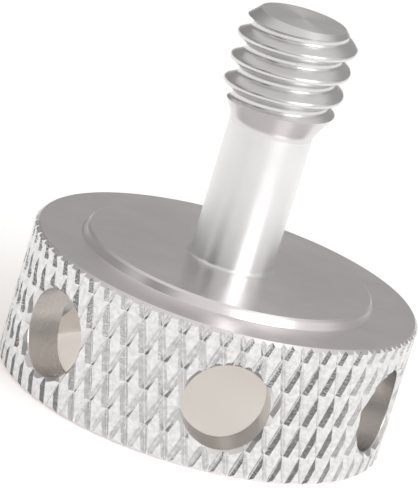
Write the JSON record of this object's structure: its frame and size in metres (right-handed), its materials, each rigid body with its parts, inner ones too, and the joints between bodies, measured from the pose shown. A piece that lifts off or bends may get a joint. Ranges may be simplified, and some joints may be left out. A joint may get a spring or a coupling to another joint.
{
  "type": "camera thumb screw",
  "caption": "Captive thumb screw turned from solid aluminium, with a hollow knurled knob, cross holes for a bar, a raised seat, a plain neck and a short thread.",
  "frame": {"origin": "middle of the knob's open rim, on the surface that the screw stands on", "axes": "+Z along the screw towards its threaded tip; Y along one pair of the bar holes"},
  "size_m": [0.0206, 0.0206, 0.0214],
  "materials": {
    "aluminium": "turned, satin to bright"
  },
  "bodies": {
    "root": {"thumb_screw": "aluminium"}
  },
  "joints": []
}
